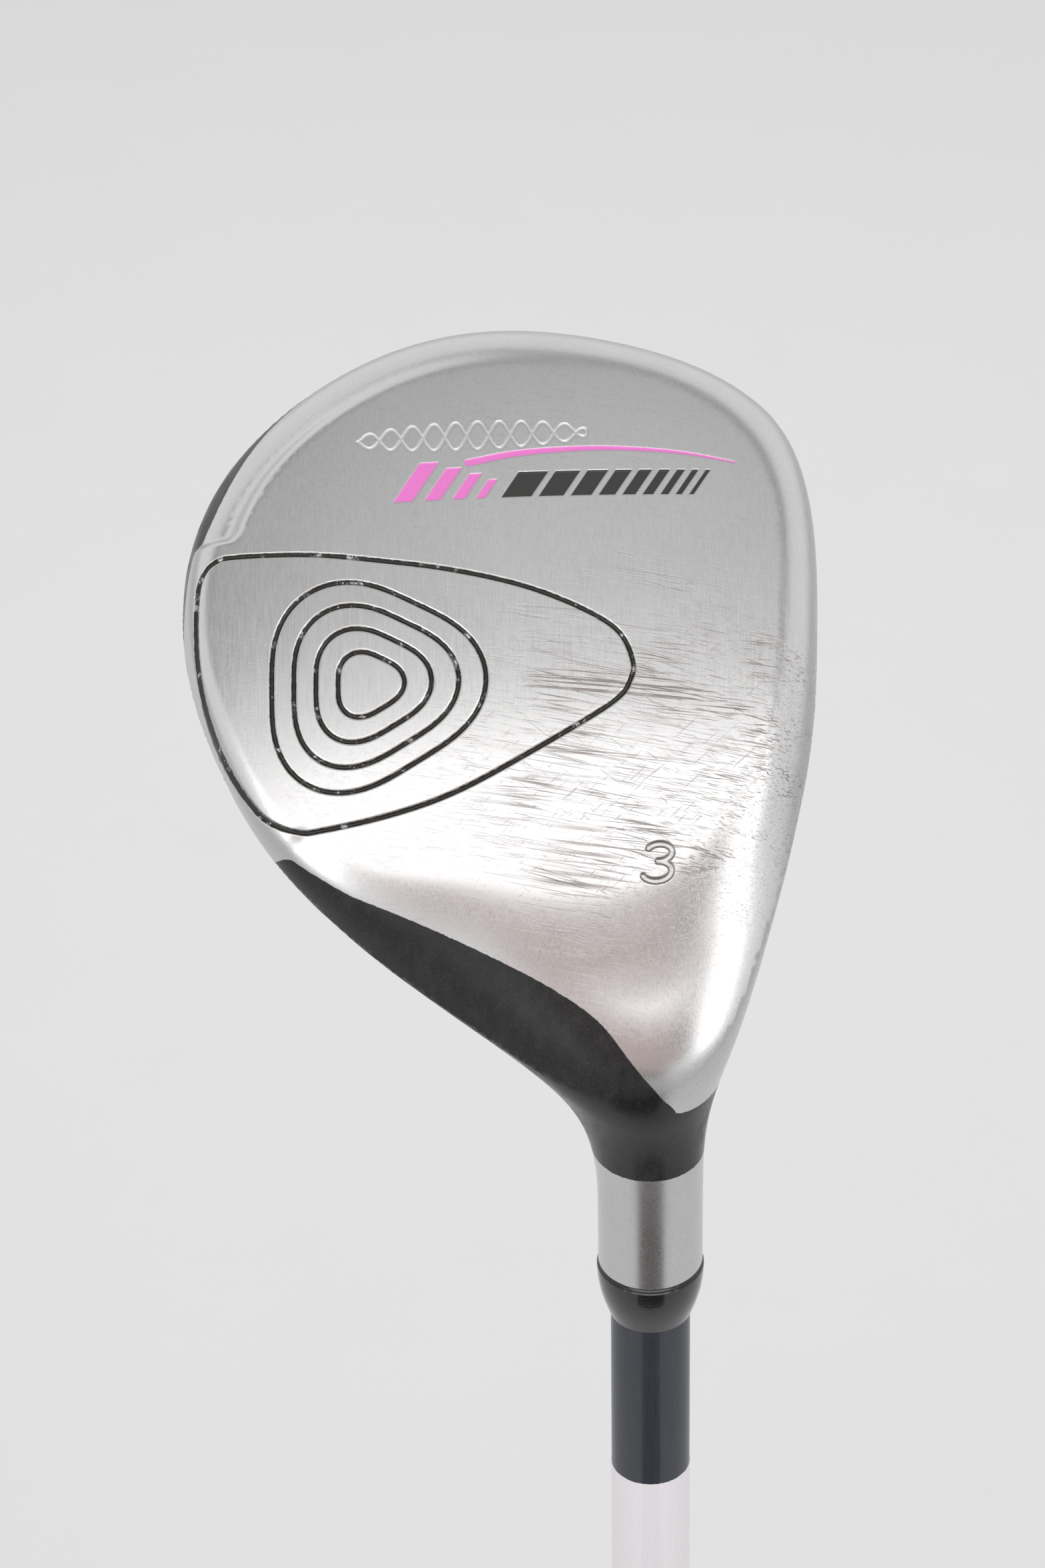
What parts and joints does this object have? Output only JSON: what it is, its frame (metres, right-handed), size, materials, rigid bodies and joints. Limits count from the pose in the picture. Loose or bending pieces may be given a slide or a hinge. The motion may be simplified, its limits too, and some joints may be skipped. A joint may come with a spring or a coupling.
{
  "type": "fairway wood golf club",
  "caption": "Right-handed fairway wood with a hollow steel head, brushed sole with a raised shield panel, black ferrule, tapered light graphite shaft and a rubber grip.",
  "frame": {"origin": "centre of the grip's butt end, on the shaft's axis", "axes": "+Z along the shaft from the butt to the head; +X forward, the way the face points; +Y towards the toe's side, so that the sole faces -Y and up"},
  "size_m": [0.0756, 0.09, 1.1025],
  "materials": {
    "head_steel": "satin brushed stainless steel with fine scratches",
    "crown_paint": "gloss black paint under clear lacquer",
    "ferrule_plastic": "polished black nylon",
    "shaft_graphite": "clear-coated paint on graphite, dark tip and pale body",
    "epoxy": "cured adhesive",
    "pin_brass": "turned brass",
    "tape": "double-sided paper tape",
    "grip_rubber": "moulded matt rubber with a fine pattern"
  },
  "bodies": {
    "root": {"head_casting": "head_steel", "crown_plate": "crown_paint", "face_plate": "head_steel", "ferrule": "ferrule_plastic", "shaft": "shaft_graphite", "epoxy_bond": "epoxy", "tip_weight_pin": "pin_brass", "grip_tape": "tape", "grip_sleeve": "grip_rubber", "grip_cap": "grip_rubber"}
  },
  "joints": []
}
